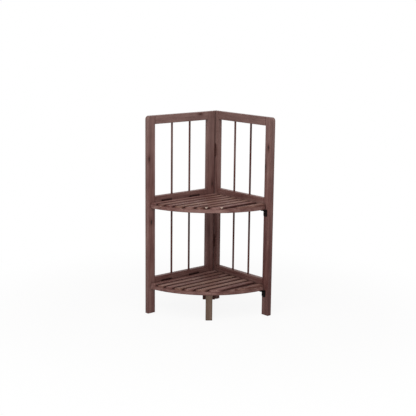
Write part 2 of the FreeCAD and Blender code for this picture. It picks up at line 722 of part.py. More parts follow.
def make_bracket(name, place):
    """A bent strip: one leg on the stile's face, one reaching out under the shelf."""
    body = new_body(name, place)
    profile = new_sketch(body, "YZ_Plane")
    thick, reach, high = dim.bracket_thickness, dim.bracket_reach, dim.bracket_height
    outline(profile, lines((0, 0), (0, -high), (-thick, -high), (-thick, -thick),
                           (-reach, -thick), (-reach, 0), (0, 0)))
    profile.addConstraint(Sketcher.Constraint("Coincident", 0, START, *ORIGIN))
    size(profile, "DistanceY", 0, END, 0, START, high, formula="Sizes.bracket_height")
    size(profile, "DistanceX", 1, END, 1, START, thick, formula="Sizes.bracket_thickness")
    size(profile, "DistanceY", 4, START, 4, END, thick, formula="Sizes.bracket_thickness")
    size(profile, "DistanceX", 5, START, 5, END, reach, formula="Sizes.bracket_reach")
    pad(body, profile, "Sizes.bracket_width", side="Symmetric")
    lower_corners, outer_corners = along(Y_AXIS, on_plane("Z", -high)), along(Z_AXIS, on_plane("Y", -reach))
    ease(body, lambda edge: lower_corners(edge) or outer_corners(edge), "Sizes.bracket_corner_radius")
    face, top = on_plane("Y", 0), on_plane("Z", 0)
    ease(body, lambda edge: face(edge) and top(edge), "Sizes.bracket_thickness")
    keep(drilled(body, bracket_screws(place)))


# Screw places by the piece that takes them
corner_moving = [closing_leaf(place) for place in corner_barrels]
upper_moving = [closing_leaf(place) for place in upper_barrels]
lower_moving = [closing_leaf(place) for place in lower_barrels]
leg_moving = [closing_leaf(leg_barrel, -QUARTER_TURN)]
brackets = {f"{level}_bracket": bracket_place(rail_top)
            for level, rail_top in (("upper", dim.upper_rail_top), ("lower", dim.lower_rail_top))}
bracket_fixings = [screw for place in brackets.values() for screw in bracket_screws(place)]

make_frame("left", left_frame, {
    "left_corner_stile": all_screws(corner_barrels),
    "left_middle_rail": all_screws(upper_barrels),
    "left_lower_rail": all_screws(lower_barrels),
})
make_frame("right", right_frame, {
    "right_corner_stile": all_screws(corner_moving),
    "right_front_stile": bracket_fixings,
})
make_shelf("upper", dim.upper_rail_top, all_screws(upper_moving), None)
make_shelf("lower", dim.lower_rail_top, all_screws(lower_moving), all_screws([leg_barrel]))
make_leg(all_screws(leg_moving))
for bracket_name, bracket_at in brackets.items():
    make_bracket(bracket_name, bracket_at)

hinge_nodes("corner_hinge", ("left_leaves", "right_leaves", "pins"), corner_barrels, corner_moving)
hinge_nodes("upper_hinge", ("rail_leaves", "shelf_leaves", "pins"), upper_barrels, upper_moving)
hinge_nodes("lower_hinge", ("rail_leaves", "shelf_leaves", "pins"), lower_barrels, lower_moving)
hinge_nodes("leg_hinge", ("shelf_leaf", "leg_leaf", "pin"), [leg_barrel], leg_moving)

screw_groups = {
    "left_frame_screws": all_screws(corner_barrels + upper_barrels + lower_barrels),
    "right_frame_screws": all_screws(corner_moving) + bracket_fixings,
    "upper_shelf_screws": all_screws(upper_moving),
    "lower_shelf_screws": all_screws(lower_moving + [leg_barrel]),
    "leg_screws": all_screws(leg_moving),
}
for group_name, screw_places in screw_groups.items():
    keep(copies(group_name, screw_pattern, screw_places))

# Check every object, then write each sub-part
doc.recompute()
for item in doc.Objects:
    if "Invalid" in item.State or "Error" in item.State:
        raise RuntimeError(f"{item.Label} did not build: {item.State}")
os.makedirs("parts", exist_ok=True)
for node in nodes:
    if node.Shape.isNull() or not node.Shape.isValid():
        raise RuntimeError(f"{node.Label} has no valid shape")
    node.Shape.exportStep(f"parts/{node.Label}.step")
print(f"{len(nodes)} sub-parts written")
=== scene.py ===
"""Corner rack: stained wood, coated hardware, slat brads, floor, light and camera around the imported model."""

import logging
import math
from dataclasses import dataclass, field, replace
from enum import Enum, StrEnum
from typing import Any, Iterable

import bpy
from mathutils import Matrix, Quaternion, Vector


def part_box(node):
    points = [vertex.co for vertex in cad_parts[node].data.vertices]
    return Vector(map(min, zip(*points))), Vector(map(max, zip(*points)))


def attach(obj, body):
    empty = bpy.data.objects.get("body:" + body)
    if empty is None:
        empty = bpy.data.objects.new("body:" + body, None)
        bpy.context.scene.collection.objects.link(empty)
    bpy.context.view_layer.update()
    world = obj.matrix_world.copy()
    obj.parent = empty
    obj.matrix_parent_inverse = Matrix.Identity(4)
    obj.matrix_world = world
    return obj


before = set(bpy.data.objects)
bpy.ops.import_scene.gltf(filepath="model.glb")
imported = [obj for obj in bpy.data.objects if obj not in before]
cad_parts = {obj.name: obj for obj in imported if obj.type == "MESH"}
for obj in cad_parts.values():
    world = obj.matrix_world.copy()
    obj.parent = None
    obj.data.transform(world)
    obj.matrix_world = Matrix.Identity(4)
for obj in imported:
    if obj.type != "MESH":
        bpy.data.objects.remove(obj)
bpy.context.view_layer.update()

log = logging.getLogger("corner_rack")

MILLIMETRE = 0.001
IMAGE_PIXELS = 416
SENSOR_WIDTH_MM = 36.0
SLAT_COUNT = 8
SLAT_NUMBERS = tuple(range(1, SLAT_COUNT + 1))
# Slats that get a painted glint at their front corner
PAINTED_GLINT_SLATS = (6, 7)
RIM_TURN = math.radians(45.0)
WHITE = (1.0, 1.0, 1.0, 1.0)

Colour = tuple[float, float, float]
Place = tuple[float, float, float]
Limits = tuple[float, float]
Socket = bpy.types.NodeSocket


class Side(StrEnum):
    """The two side frames."""

    LEFT = "left"
    RIGHT = "right"


class Level(StrEnum):
    """The two shelves."""

    UPPER = "upper"
    LOWER = "lower"


class Grain(Enum):
    """Direction in which a board's grain runs, as a row-frame axis."""

    ALONG_X = 0
    ALONG_Y = 1
    ALONG_Z = 2

    def stretched(self, share: float) -> Vector:
        """Scale that draws a pattern out along the grain.

        Args:
            share: Scale along the grain, where 1 draws nothing out.

        Returns:
            The scale per axis.
        """
        scale = Vector((1.0, 1.0, 1.0))
        scale[self.value] = share
        return scale

    def direction(self, turn: float) -> Vector:
        """Direction of the grain after a turn about the upright axis.

        Args:
            turn: The turn in radians.

        Returns:
            A unit vector.
        """
        axis = Vector((0.0, 0.0, 0.0))
        axis[self.value] = 1.0
        return Matrix.Rotation(turn, 3, "Z") @ axis


@dataclass(frozen=True)
class BoardSpot:
    """A spot on a board, given by shares of the board's box."""

    node: str
    shares: tuple[float, float, float]

    def place(self) -> Place:
        """The spot in the row frame.

        Returns:
            Its place in metres.
        """
        low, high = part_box(self.node)
        return tuple(low[axis] + share * (high[axis] - low[axis]) for axis, share in enumerate(self.shares))


UPRIGHT_KNOTS = (
    BoardSpot("left_front_stile", shares=(1.0, 0.142, 0.788)),
    BoardSpot("left_front_stile", shares=(1.0, 0.450, 0.470)),
    BoardSpot("left_corner_stile", shares=(1.0, 0.681, 0.623)),
    BoardSpot("right_front_stile", shares=(0.538, 0.0, 0.852)),
)
LEFT_RAIL_KNOTS = (BoardSpot("left_top_rail", shares=(0.867, 0.809, 0.760)),)


class NodeWriter:
    """Adds, sets and links the nodes of one tree."""

    def __init__(self, tree: bpy.types.NodeTree) -> None:
        """Takes the tree to write in."""
        self.tree = tree

    def add(self, kind: str, **settings: Any) -> bpy.types.Node:
        """Adds a node and sets its properties.

        Args:
            kind: Blender's node type.
            **settings: Property values by name.

        Returns:
            The new node.
        """
        node = self.tree.nodes.new(kind)
        for name, value in settings.items():
            setattr(node, name, value)
        return node

    def wire(self, source: Socket, target: Socket) -> None:
        """Links two sockets."""
        self.tree.links.new(source, target)

    def feed(self, node: bpy.types.Node, inputs: dict[Any, Any]) -> None:
        """Sets or links a node's inputs.

        Args:
            node: The node to feed.
            inputs: Values or sockets by input name or number.
        """
        for key, value in inputs.items():
            if isinstance(value, Socket):
                self.wire(value, node.inputs[key])
            else:
                node.inputs[key].default_value = value


class Graph(NodeWriter):
    """Writes the nodes of one procedural material."""

    edge_samples = 6
    gap_samples = 8

    def __init__(self, name: str) -> None:
        """Starts an empty material with a Principled shader.

        Args:
            name: The material's name.
        """
        self.material = bpy.data.materials.new(name)
        self.material.use_nodes = True
        super().__init__(self.material.node_tree)
        self.tree.nodes.clear()
        self.shader = self.add("ShaderNodeBsdfPrincipled")
        self.output = self.add("ShaderNodeOutputMaterial")
        self.wire(self.shader.outputs["BSDF"], self.output.inputs["Surface"])

    def noise(self, vector: Socket, scale: float, octaves: int, fineness: float = 0.5,
              bend: float = 0.0) -> Socket:
        """A noise value over a vector.

        Args:
            vector: Where to read it.
            scale: Features per metre.
            octaves: How many finer layers it has.
            fineness: Weight of the finer layers.
            bend: How far the features are bent.

        Returns:
            The value socket.
        """
        node = self.add("ShaderNodeTexNoise")
        self.feed(node, {"Vector": vector, "Scale": scale, "Detail": octaves, "Roughness": fineness,
                         "Distortion": bend})
        return node.outputs["Fac"]

    def math(self, operation: str, first: Any, second: Any = 0.0, third: Any = 0.0) -> Socket:
        """A math node on values or sockets.

        Args:
            operation: Blender's name of the operation.
            first: First operand.
            second: Second operand.
            third: Third operand.

        Returns:
            The result socket.
        """
        node = self.add("ShaderNodeMath", operation=operation)
        self.feed(node, {0: first, 1: second, 2: third})
        return node.outputs["Value"]

    def dot(self, first: Socket, second: Any) -> Socket:
        """Dot product of two vectors.

        Args:
            first: First vector.
            second: Second vector, as a value or a socket.

        Returns:
            The value socket.
        """
        node = self.add("ShaderNodeVectorMath", operation="DOT_PRODUCT")
        self.feed(node, {0: first, 1: second})
        return node.outputs["Value"]

    def length(self, vector: Socket) -> Socket:
        """Length of a vector.

        Args:
            vector: The vector.

        Returns:
            The value socket.
        """
        node = self.add("ShaderNodeVectorMath", operation="LENGTH")
        self.feed(node, {0: vector})
        return node.outputs["Value"]

    def parts(self, vector: Socket) -> tuple[Socket, Socket, Socket]:
        """The parts of a vector along X, Y and Z.

        Args:
            vector: The vector.

        Returns:
            The three value sockets.
        """
        node = self.add("ShaderNodeSeparateXYZ")
        self.feed(node, {"Vector": vector})
        return tuple(node.outputs)

    def mapped(self, vector: Socket, scale: Iterable[float] = (1.0, 1.0, 1.0), turn: float = 0.0) -> Socket:
        """Scales and turns a coordinate.

        Args:
            vector: The coordinate.
            scale: Scale per axis.
            turn: Turn about the upright axis in radians.

        Returns:
            The new coordinate.
        """
        node = self.add("ShaderNodeMapping")
        self.feed(node, {"Vector": vector, "Scale": scale, "Rotation": (0.0, 0.0, -turn)})
        return node.outputs["Vector"]

    def between(self, value: Socket, limits: Limits, results: Limits = (0.0, 1.0)) -> Socket:
        """A smooth, clamped change of range.

        Args:
            value: The value to change.
            limits: Values that give the first and the second result.
            results: The two results.

        Returns:
            The result socket.
        """
        node = self.add("ShaderNodeMapRange", interpolation_type="SMOOTHSTEP")
        self.feed(node, {"Value": value, "From Min": limits[0], "From Max": limits[1],
                         "To Min": results[0], "To Max": results[1]})
        return node.outputs["Result"]

    def ramp(self, value: Socket, stops: Iterable[tuple[float, Colour]]) -> Socket:
        """A colour ramp.

        Args:
            value: The value that picks the colour.
            stops: Positions and colours in order.

        Returns:
            The colour socket.
        """
        node = self.add("ShaderNodeValToRGB")
        elements = node.color_ramp.elements
        for index, (position, colour) in enumerate(stops):
            element = elements[index] if index < len(elements) else elements.new(position)
            element.position = position
            element.color = (*colour, 1.0)
        self.wire(value, node.inputs["Fac"])
        return node.outputs["Color"]

    def blend(self, factor: Socket, colour: Socket, other: Colour) -> Socket:
        """Mixes a fixed colour into another.

        Args:
            factor: Share of the fixed colour.
            colour: The colour so far.
            other: The fixed colour.

        Returns:
            The colour socket.
        """
        node = self.add("ShaderNodeMix", data_type="RGBA")
        inputs = {socket.identifier: socket for socket in node.inputs}
        self.wire(factor, inputs["Factor_Float"])
        self.wire(colour, inputs["A_Color"])
        inputs["B_Color"].default_value = (*other, 1.0)
        return next(socket for socket in node.outputs if socket.identifier == "Result_Color")

    def edges(self, radius: float) -> Socket:
        """Mask of the surface near its sharp edges.

        Args:
            radius: Reach of the edges in metres.

        Returns:
            A value above 0 near edges, and 0 on flats.
        """
        rounded = self.add("ShaderNodeBevel", samples=self.edge_samples)
        self.feed(rounded, {"Radius": radius})
        flat = self.add("ShaderNodeNewGeometry").outputs["Normal"]
        return self.math("SUBTRACT", 1.0, self.dot(rounded.outputs["Normal"], flat))

    def closed(self, reach: float) -> Socket:
        """Ambient occlusion mask of gaps and inner corners, from which the wood paints shade.

        Args:
            reach: How far away a facing surface counts, in metres.

        Returns:
            A value near 1 in a narrow gap and 0 in the open.
        """
        node = self.add("ShaderNodeAmbientOcclusion", samples=self.gap_samples)
        self.feed(node, {"Distance": reach})
        return self.math("SUBTRACT", 1.0, node.outputs["AO"])

    def bump(self, height: Socket, depth: float, strength: float) -> None:
        """Gives the shader a relief.

        Args:
            height: Height from 0 to 1.
            depth: Real depth in metres.
            strength: Share of the relief that shows.
        """
        node = self.add("ShaderNodeBump")
        self.feed(node, {"Height": height, "Distance": depth, "Strength": strength})
        self.wire(node.outputs["Normal"], self.shader.inputs["Normal"])


@dataclass(frozen=True)
class Tones:
    """Colours of one stained board in linear light, from its dark bands to its light ones."""

    dark: Colour
    middle: Colour
    light: Colour

    def in_order(self) -> tuple[Colour, Colour, Colour]:
        """The three colours from dark to light."""
        return self.dark, self.middle, self.light

    def scaled(self, level: float) -> "Tones":
        """The same hues, lighter or darker."""
        return Tones(*(tuple(level * part for part in colour) for colour in self.in_order()))

    def mixed(self, other: "Tones", share: float) -> "Tones":
        """Colours between these and others."""
        pairs = zip(self.in_order(), other.in_order())
        return Tones(*(tuple(Vector(first).lerp(Vector(second), share)) for first, second in pairs))


BOARD_TONES = Tones((0.053, 0.016, 0.014), (0.123, 0.058, 0.050), (0.190, 0.110, 0.095))
BAR_TONES = Tones((0.040, 0.013, 0.011), (0.078, 0.034, 0.029), (0.120, 0.061, 0.052))
SLAT_TONES = Tones((0.044, 0.015, 0.014), (0.112, 0.058, 0.050), (0.176, 0.107, 0.094))
LEG_TONES = Tones((0.039, 0.019, 0.012), (0.087, 0.054, 0.037), (0.136, 0.090, 0.068))

# For each slat from the left: the share of the leg's greyer tones, and how light it is
SLAT_GREY_SHARES = (0.0, 0.3, 0.1, 0.5, 0.2, 0.4, 0.0, 0.3)
SLAT_LEVEL_SHARES = (1.34, 1.56, 1.36, 1.70, 1.45, 1.63, 1.36, 1.56)


@dataclass(frozen=True)
class StainedWood:
    """Dark reddish-brown stain on a softwood board, under a thin satin lacquer, with painted shade and painted
    highlights.

    Scales are features per metre, octaves are layers of a noise, reaches are metres, and limits are the two
    values between which a mask fades.
    """

    name: str
    grain: Grain

    # Figure of the grain
    turn: float = 0.0
    tones: Tones = BOARD_TONES
    grain_share: float = 0.055
    cloud_scale: float = 11.0
    cloud_octaves: int = 2
    cloud_tone_share: float = 0.27
    band_scale: float = 95.0
    band_octaves: int = 3
    band_bend: float = 0.6
    band_tone_share: float = 0.45
    streak_scale: float = 520.0
    streak_octaves: int = 4
    streak_fineness: float = 0.62
    streak_tone_share: float = 0.28
    tone_stops: tuple[float, float, float] = (0.36, 0.50, 0.64)

    # Pores
    pore_share: float = 0.025
    pore_scale: float = 1500.0
    pore_octaves: int = 1
    pore_limits: Limits = (0.60, 0.72)
    pore_dark_share: float = 0.45

    # Knots, whose distances count from 1 at the rim
    # The knot colour is also the colour of the painted shade in gaps and inner corners
    knot: Colour = (0.016, 0.007, 0.006)
    knot_rim: Colour = (0.060, 0.023, 0.016)
    knot_share: float = 0.40
    knot_scale: float = 13.0
    knot_free_share: float = 0.81
    knot_cell_share: float = 0.075
    knot_far: float = 10.0
    knot_places: tuple[BoardSpot, ...] = ()
    knot_reach: float = 4.0 * MILLIMETRE
    knot_edge_scale: float = 420.0
    knot_edge_octaves: int = 2
    knot_edge_share: float = 0.6
    halo_limits: Limits = (2.6, 1.1)
    halo_share: float = 0.5
    knot_rim_limits: Limits = (1.35, 1.15)
    knot_rim_share: float = 0.8
    knot_core_limits: Limits = (1.05, 0.75)
    knot_core_share: float = 0.95

    # Dark end grain, and painted shade in gaps and inner corners
    end_limits: Limits = (0.80, 0.97)
    end_dark_share: float = 0.45
    painted_crevice_shade_reach: float = 13.0 * MILLIMETRE
    painted_crevice_shade_limits: Limits = (0.18, 0.85)
    painted_crevice_shade_share: float = 0.50

    # Stain that gathers, wear along the edges, and light edge spots that are partly painted glints
    gather_reach: float = 4.0 * MILLIMETRE
    gather_limits: Limits = (0.01, 0.12)
    gather_share: float = 0.5
    edge_reach: float = 1.4 * MILLIMETRE
    edge_limits: Limits = (0.015, 0.16)
    worn: Colour = (0.24, 0.155, 0.135)
    wear_scale: float = 60.0
    wear_octaves: int = 3
    rub_limits: Limits = (0.46, 0.68)
    rub_shares: Limits = (0.0, 0.35)
    chip_and_glint_colour: Colour = (0.46, 0.37, 0.31)
    chip_and_glint_scale: float = 105.0
    chip_and_glint_octaves: int = 4
    chip_and_glint_limits: Limits = (0.67, 0.71)
    painted_glint_places: tuple[Place, ...] = ()
    painted_glint_reach: float = 2.6 * MILLIMETRE
    painted_glint_edge_scale: float = 900.0
    painted_glint_edge_octaves: int = 3
    painted_glint_edge_share: float = 1.6
    painted_glint_edge_limits: Limits = (1.75, 1.60)

    # Painted shade towards the floor and painted sheen towards the top, over the height in metres, and painted
    # shade along a board's sides
    painted_foot_shade_limits: Limits = (0.34, 0.03)
    painted_foot_shade_share: float = 0.0
    painted_top_sheen_limits: Limits = (0.30, 0.62)
    painted_top_sheen_share: float = 0.0
    painted_sheen_colour: Colour = (0.145, 0.108, 0.097)
    sides: Limits = (0.0, 0.0)
    painted_side_shade_reach: float = 5.5 * MILLIMETRE
    painted_side_shade_share: float = 0.0

    # Surface
    relief: float = 0.25 * MILLIMETRE
    relief_share: float = 0.55
    open_limits: Limits = (0.3, 0.8)
    roughness_limits: Limits = (0.42, 0.64)
    specular_level: float = 0.20
    lacquer_weight: float = 0.03
    lacquer_roughness: float = 0.32

    def material(self) -> bpy.types.Material:
        """Writes the wood's material.

        Returns:
            The finished material.
        """
        graph = Graph(self.name)
        coordinates = graph.add("ShaderNodeTexCoord")
        place = graph.mapped(coordinates.outputs["Object"], turn=self.turn)
        along = graph.mapped(place, self.grain.stretched(self.grain_share))
        streaks = graph.noise(along, self.streak_scale, self.streak_octaves, fineness=self.streak_fineness)
        fine = graph.mapped(place, self.grain.stretched(self.pore_share))
        pores = graph.between(graph.noise(fine, self.pore_scale, self.pore_octaves), self.pore_limits)
        colour = self.figure(graph, place, along, streaks)
        # Painted shade towards the floor and painted sheen towards the top
        colour = self.paint_height_light(graph, place, colour)
        # Painted shade along the sides of the slats
        colour = self.paint_side_shade(graph, place, colour)
        colour = graph.blend(graph.math("MULTIPLY", pores, self.pore_dark_share), colour, self.tones.dark)
        colour = self.knots(graph, place, colour)
        lengthwise = graph.dot(coordinates.outputs["Normal"], self.grain.direction(self.turn))
        ends = graph.between(graph.math("ABSOLUTE", lengthwise), self.end_limits, (0.0, self.end_dark_share))
        colour = graph.blend(ends, colour, self.tones.dark)
        colour = self.wear(graph, place, colour)
        # Painted shade: an occlusion mask darkens gaps and inner corners towards the knot colour
        painted_crevice_shade = graph.between(graph.closed(self.painted_crevice_shade_reach), self.painted_crevice_shade_limits,
                                 (0.0, self.painted_crevice_shade_share))
        openness = graph.math("MAXIMUM", pores, streaks)
        graph.feed(graph.shader, {
            "Base Color": graph.blend(painted_crevice_shade, colour, self.knot),
            "Roughness": graph.between(openness, self.open_limits, self.roughness_limits),
            "Coat Weight": self.lacquer_weight,
            "Coat Roughness": self.lacquer_roughness,
            "Specular IOR Level": self.specular_level,
        })
        graph.bump(graph.math("SUBTRACT", streaks, pores), self.relief, self.relief_share)
        return graph.material

    def figure(self, graph: Graph, place: Socket, along: Socket, streaks: Socket) -> Socket:
        """Colour of the grain: broad clouds, growth bands and fine streaks.

        Args:
            graph: The material's nodes.
            place: The coordinate.
            along: The coordinate drawn out along the grain.
            streaks: The fine streaks.

        Returns:
            The colour socket.
        """
        clouds = graph.noise(place, self.cloud_scale, self.cloud_octaves)
        bands = graph.noise(along, self.band_scale, self.band_octaves, bend=self.band_bend)
        tone = graph.math("MULTIPLY", clouds, self.cloud_tone_share)
        tone = graph.math("MULTIPLY_ADD", bands, self.band_tone_share, tone)
        tone = graph.math("MULTIPLY_ADD", streaks, self.streak_tone_share, tone)
        return graph.ramp(tone, zip(self.tone_stops, self.tones.in_order()))

    def paint_height_light(self, graph: Graph, place: Socket, colour: Socket) -> Socket:
        """Paints shade on boards towards the floor, and a grey painted sheen on them towards the top.

        Args:
            graph: The material's nodes.
            place: The coordinate.
            colour: The colour so far.

        Returns:
            The colour with the fade.
        """
        if not self.painted_foot_shade_share:
            return colour
        _, _, height = graph.parts(place)
        low = graph.between(height, self.painted_foot_shade_limits, (0.0, self.painted_foot_shade_share))
        high = graph.between(height, self.painted_top_sheen_limits, (0.0, self.painted_top_sheen_share))
        return graph.blend(high, graph.blend(low, colour, self.tones.dark), self.painted_sheen_colour)

    def paint_side_shade(self, graph: Graph, place: Socket, colour: Socket) -> Socket:
        """Paints shade on a narrow board along its two sides, next to the gaps between boards.

        Args:
            graph: The material's nodes.
            place: The coordinate.
            colour: The colour so far.

        Returns:
            The colour with painted shade along the sides.
        """
        if not self.painted_side_shade_share:
            return colour
        left, right = self.sides
        half = (right - left) / 2
        across, _, _ = graph.parts(place)
        offset = graph.math("ABSOLUTE", graph.math("SUBTRACT", across, left + half))
        painted_side_shade = graph.between(offset, (half - self.painted_side_shade_reach, half), (0.0, self.painted_side_shade_share))
        return graph.blend(painted_side_shade, colour, self.tones.dark)

    def distance_from(self, graph: Graph, place: Socket, centre: Place, reach: float) -> Socket:
        """Distance from a knot, or from a painted glint, in a known place, drawn out along the grain.

        Args:
            graph: The material's nodes.
            place: The coordinate.
            centre: Its middle in the row frame.
            reach: Half its width across the grain, in metres.

        Returns:
            The distance, where 1 is its rim.
        """
        offset = graph.add("ShaderNodeVectorMath", operation="SUBTRACT")
        graph.feed(offset, {0: place, 1: centre})
        drawn_out = graph.mapped(offset.outputs["Vector"], self.grain.stretched(self.knot_share))
        return graph.math("DIVIDE", graph.length(drawn_out), reach)

    def scattered_knots(self, graph: Graph, place: Socket) -> Socket:
        """Distance from a few scattered knots, which run through a board's thickness.

        Args:
            graph: The material's nodes.
            place: The coordinate.

        Returns:
            The distance, where 1 is a knot's rim.
        """
        parts = graph.parts(place)
        across = [parts[axis.value] for axis in Grain if axis is not self.grain]
        spread = graph.add("ShaderNodeCombineXYZ")
        graph.feed(spread, {"X": graph.math("ADD", *across),
                            "Y": graph.math("MULTIPLY", parts[self.grain.value], self.knot_share)})
        cells = graph.add("ShaderNodeTexVoronoi", voronoi_dimensions="2D")
        graph.feed(cells, {"Vector": spread.outputs["Vector"], "Scale": self.knot_scale})
        chance = graph.add("ShaderNodeSeparateColor")
        graph.wire(cells.outputs["Color"], chance.inputs["Color"])
        left_out = graph.math("LESS_THAN", chance.outputs["Red"], self.knot_free_share)
        distance = graph.math("DIVIDE", cells.outputs["Distance"], self.knot_cell_share)
        return graph.math("MULTIPLY_ADD", left_out, self.knot_far, distance)

    def knots(self, graph: Graph, place: Socket, colour: Socket) -> Socket:
        """Colours the knots: a dark halo in the grain, a reddish rim and a nearly black core.

        Args:
            graph: The material's nodes.
            place: The coordinate.
            colour: The colour so far.

        Returns:
            The colour with knots.
        """
        nearest = self.scattered_knots(graph, place)
        for spot in self.knot_places:
            distance = self.distance_from(graph, place, spot.place(), self.knot_reach)
            nearest = graph.math("MINIMUM", nearest, distance)
        ragged = graph.noise(place, self.knot_edge_scale, self.knot_edge_octaves)
        nearest = graph.math("MULTIPLY_ADD", ragged, self.knot_edge_share, nearest)
        layers = (
            (self.halo_limits, self.halo_share, self.tones.dark),
            (self.knot_rim_limits, self.knot_rim_share, self.knot_rim),
            (self.knot_core_limits, self.knot_core_share, self.knot),
        )
        for limits, share, tone in layers:
            colour = graph.blend(graph.between(nearest, limits, (0.0, share)), colour, tone)
        return colour

    def wear(self, graph: Graph, place: Socket, colour: Socket) -> Socket:
        """Gathers stain along the edges, rubs the edges lighter in places, and puts light spots on them: chip
        marks on most boards, and partly painted glints on the slats and at given places.

        Args:
            graph: The material's nodes.
            place: The coordinate.
            colour: The colour so far.

        Returns:
            The colour with worn edges and painted glints.
        """
        gathered = graph.between(graph.edges(self.gather_reach), self.gather_limits, (0.0, self.gather_share))
        colour = graph.blend(gathered, colour, self.tones.dark)
        edges = graph.between(graph.edges(self.edge_reach), self.edge_limits)
        worn_spots = graph.noise(place, self.wear_scale, self.wear_octaves)
        rubbed = graph.between(worn_spots, self.rub_limits, self.rub_shares)
        colour = graph.blend(graph.math("MULTIPLY", edges, rubbed), colour, self.worn)
        chip_and_glint_spots = graph.noise(place, self.chip_and_glint_scale, self.chip_and_glint_octaves)
        chips_and_glints = graph.math("MULTIPLY", edges, graph.between(chip_and_glint_spots, self.chip_and_glint_limits))
        # Painted glints at the given places
        for centre in self.painted_glint_places:
            distance = self.distance_from(graph, place, centre, self.painted_glint_reach)
            ragged = graph.noise(place, self.painted_glint_edge_scale, self.painted_glint_edge_octaves)
            distance = graph.math("MULTIPLY_ADD", ragged, self.painted_glint_edge_share, distance)
            chips_and_glints = graph.math("MAXIMUM", chips_and_glints, graph.between(distance, self.painted_glint_edge_limits))
        return graph.blend(chips_and_glints, colour, self.chip_and_glint_colour)


@dataclass(frozen=True)
class CoatedSteel:
    """Powder coat on pressed steel, rubbed a little on its edges."""

    name: str
    coat: Colour = (0.0025, 0.0020, 0.0020)
    dusty: Colour = (0.0050, 0.0045, 0.0045)
    rubbed: Colour = (0.055, 0.053, 0.050)
    peel_scale: float = 1800.0
    peel_octaves: int = 2
    dust_scale: float = 140.0
    dust_octaves: int = 3
    dust_stops: Limits = (0.35, 0.70)
    edge_reach: float = 0.5 * MILLIMETRE
    edge_limits: Limits = (0.05, 0.30)
    rub_limits: Limits = (0.48, 0.66)
    rub_shares: Limits = (0.0, 0.4)
    roughness_limits: Limits = (0.40, 0.56)
    specular_level: float = 0.03
    relief: float = 0.05 * MILLIMETRE
    relief_share: float = 0.3

    def material(self) -> bpy.types.Material:
        """Writes the steel's material.

        Returns:
            The finished material.
        """
        graph = Graph(self.name)
        place = graph.add("ShaderNodeTexCoord").outputs["Object"]
        dust = graph.noise(place, self.dust_scale, self.dust_octaves)
        colour = graph.ramp(dust, zip(self.dust_stops, (self.coat, self.dusty)))
        edges = graph.between(graph.edges(self.edge_reach), self.edge_limits)
        rubbed = graph.math("MULTIPLY", edges, graph.between(dust, self.rub_limits, self.rub_shares))
        graph.feed(graph.shader, {
            "Base Color": graph.blend(rubbed, colour, self.rubbed),
            "Roughness": graph.between(dust, self.dust_stops, self.roughness_limits),
            "Specular IOR Level": self.specular_level,
        })
        graph.bump(graph.noise(place, self.peel_scale, self.peel_octaves), self.relief, self.relief_share)
        return graph.material


# The rails and uprights carry painted shade towards the floor and painted sheen towards the top
RIGHT_RAIL_WOOD = StainedWood("stained_wood_right_rail", Grain.ALONG_X, painted_foot_shade_share=0.36,
                              painted_top_sheen_share=0.30)
LEFT_RAIL_WOOD = replace(RIGHT_RAIL_WOOD, name="stained_wood_left_rail", grain=Grain.ALONG_Y,
                         knot_places=LEFT_RAIL_KNOTS)
# The uprights carry less painted shade in their gaps and inner corners
UPRIGHT_WOOD = replace(RIGHT_RAIL_WOOD, name="stained_wood_upright", grain=Grain.ALONG_Z,
                       knot_places=UPRIGHT_KNOTS, knot_free_share=0.91, painted_crevice_shade_share=0.15)
BAR_WOOD = StainedWood("stained_wood_bar", Grain.ALONG_Z, tones=BAR_TONES, knot_free_share=1.0,
                       specular_level=0.04, lacquer_weight=0.0)
LEG_WOOD = StainedWood("stained_wood_leg", Grain.ALONG_Z, tones=LEG_TONES)
# The slats carry painted shade along their sides, stronger painted shade in their gaps, and more light edge
# spots, which are partly painted glints
SLAT_WOOD = StainedWood("stained_wood_slat", Grain.ALONG_Y, tones=SLAT_TONES, painted_side_shade_share=0.66,
                        painted_crevice_shade_limits=(0.12, 0.48), painted_crevice_shade_share=0.66, rub_shares=(0.0, 0.25),
                        edge_reach=2.2 * MILLIMETRE, chip_and_glint_limits=(0.60, 0.64), specular_level=0.05,
                        lacquer_weight=0.0)
BACK_BATTEN_WOOD = StainedWood("stained_wood_batten", Grain.ALONG_X)
RIM_WOOD = StainedWood("stained_wood_rim", Grain.ALONG_X, turn=RIM_TURN)
BRACKET_STEEL = CoatedSteel("black_coated_steel")
SHELF_HINGE_STEEL = CoatedSteel("dark_brown_coated_steel", coat=(0.016, 0.006, 0.005),
                                dusty=(0.026, 0.011, 0.010))
OTHER_HINGE_STEEL = CoatedSteel("brown_coated_steel", coat=(0.038, 0.015, 0.013), dusty=(0.056, 0.025, 0.021))
BRAD_STEEL = CoatedSteel("dark_brad_steel", coat=(0.016, 0.011, 0.010), dusty=(0.030, 0.022, 0.019))


def dress(nodes: Iterable[str], material: bpy.types.Material) -> None:
    """Gives CAD nodes a finish.

    Args:
        nodes: Node names.
        material: The finish's material.
    """
    for name in nodes:
        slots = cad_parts[name].data.materials
        slots.clear()
        slots.append(material)
        log.info("%s: %s", name, material.name)


@dataclass(frozen=True)
class ShelfArc:
    """The arc that the slats' front ends follow."""

    left_reach: float = 28.0 * MILLIMETRE
    front_reach: float = 3.0 * MILLIMETRE

    def centre(self) -> Vector:
        """Middle of the arc, just outside the inner corner of the frames."""
        corner = Vector((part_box("left_middle_rail")[1].x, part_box("right_middle_rail")[0].y, 0.0))
        return corner - Vector((self.left_reach, self.front_reach, 0.0))

    def radius(self) -> float:
        """Radius of the arc, out to the first slat's front corner."""
        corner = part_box("upper_slat_1")[0]
        return math.hypot(corner.x - self.centre().x, corner.y - self.centre().y)

    def front(self, across: float) -> float:
        """Place of the arc along Y at a place along X."""
        reach = across - self.centre().x
        return self.centre().y - math.sqrt(self.radius() ** 2 - reach ** 2)


